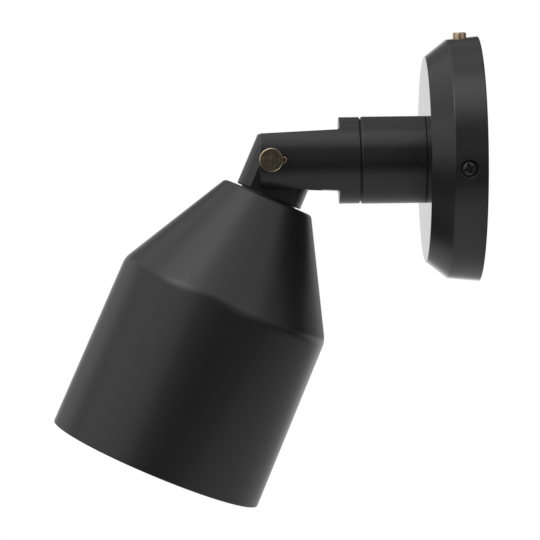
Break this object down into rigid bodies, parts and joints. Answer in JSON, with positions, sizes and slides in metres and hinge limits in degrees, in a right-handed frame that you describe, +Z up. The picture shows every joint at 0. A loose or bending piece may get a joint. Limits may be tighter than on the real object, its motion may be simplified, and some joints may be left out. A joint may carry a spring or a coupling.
{
  "type": "pivoting spotlight wall light",
  "caption": "Pivoting spotlight wall light: round canopy with a push-button, stub and swivelling fork arm, thumb screw, and a deep cone shade that tilts around its lampholder.",
  "frame": {"origin": "on the wall, in the middle of the canopy's open back, on the arm's axis", "axes": "-Y reaches out of the wall along the arm's axis, +Y goes into the wall, +Z is up, and +X is the thumb screw's side"},
  "size_m": [0.12, 0.2091, 0.2312],
  "materials": {
    "black_lacquer": "satin black lacquer on turned and spun metal",
    "blackened_steel": "blackened steel",
    "zinc_steel": "zinc plated",
    "bare_brass": "bare machined brass",
    "aged_brass": "aged, lacquered brass",
    "white_nylon": "moulded nylon",
    "fibre": "pressed fibre washer",
    "black_bakelite": "moulded phenolic",
    "porcelain": "glazed porcelain",
    "cable_sheath": "round sheath",
    "lead_insulation": "insulated single leads",
    "earth_insulation": "green and yellow earth lead"
  },
  "bodies": {
    "wall_mount": {"canopy": "black_lacquer", "mounting_strip": "zinc_steel", "canopy_screws": "blackened_steel", "earth_screw": "bare_brass", "earth_tag": "zinc_steel", "earth_lead": "earth_insulation", "terminal_block": "white_nylon", "terminal_screws": "bare_brass", "switch_body": "black_bakelite", "switch_lugs": "bare_brass", "switch_leads": "lead_insulation", "canopy_leads": "lead_insulation", "stub": "black_lacquer", "swivel_tube": "zinc_steel", "canopy_nut": "zinc_steel", "lock_washer": "zinc_steel", "stub_nut": "zinc_steel", "swivel_stop_pin": "zinc_steel", "swivel_nut": "zinc_steel"},
    "button": {"switch_button": "aged_brass"},
    "arm": {"fork_arm": "black_lacquer", "swivel_washer": "fibre", "spring_washer": "zinc_steel", "tilt_washers": "fibre", "tilt_stop_screw": "aged_brass", "pivot_nut": "aged_brass", "arm_cable": "cable_sheath", "joint_cable": "cable_sheath"},
    "thumb_screw": {"thumb_screw": "aged_brass"},
    "head": {"neck": "black_lacquer", "shade_spacer": "black_lacquer", "shade": "black_lacquer", "shade_tube": "zinc_steel", "shade_washer": "zinc_steel", "shade_nut": "zinc_steel", "head_cable": "cable_sheath", "lampholder_cap": "black_bakelite", "lampholder_body": "black_bakelite", "lampholder_insulator": "porcelain", "lampholder_screws": "bare_brass", "screw_shell": "bare_brass", "centre_contact": "bare_brass", "lamp_leads": "lead_insulation"}
  },
  "joints": [
    {"name": "button_press", "type": "slide", "parent": "wall_mount", "child": "button", "axis": [0, 0, -1], "range_m": [0, 0.002], "stiffness_N_per_m": 600},
    {"name": "arm_swivel", "type": "hinge", "parent": "wall_mount", "child": "arm", "pos_m": [0, -0.0624, 0], "axis": [0, -1, 0], "range_deg": [-165, 165]},
    {"name": "shade_tilt", "type": "hinge", "parent": "arm", "child": "head", "pos_m": [0, -0.1011, 0], "axis": [1, 0, 0], "range_deg": [-66.4, 23.6], "deforming": ["joint_cable"]},
    {"name": "thumb_screw_turn", "type": "hinge", "parent": "arm", "child": "thumb_screw", "pos_m": [0, -0.1011, 0], "axis": [1, 0, 0], "continuous": true}
  ]
}
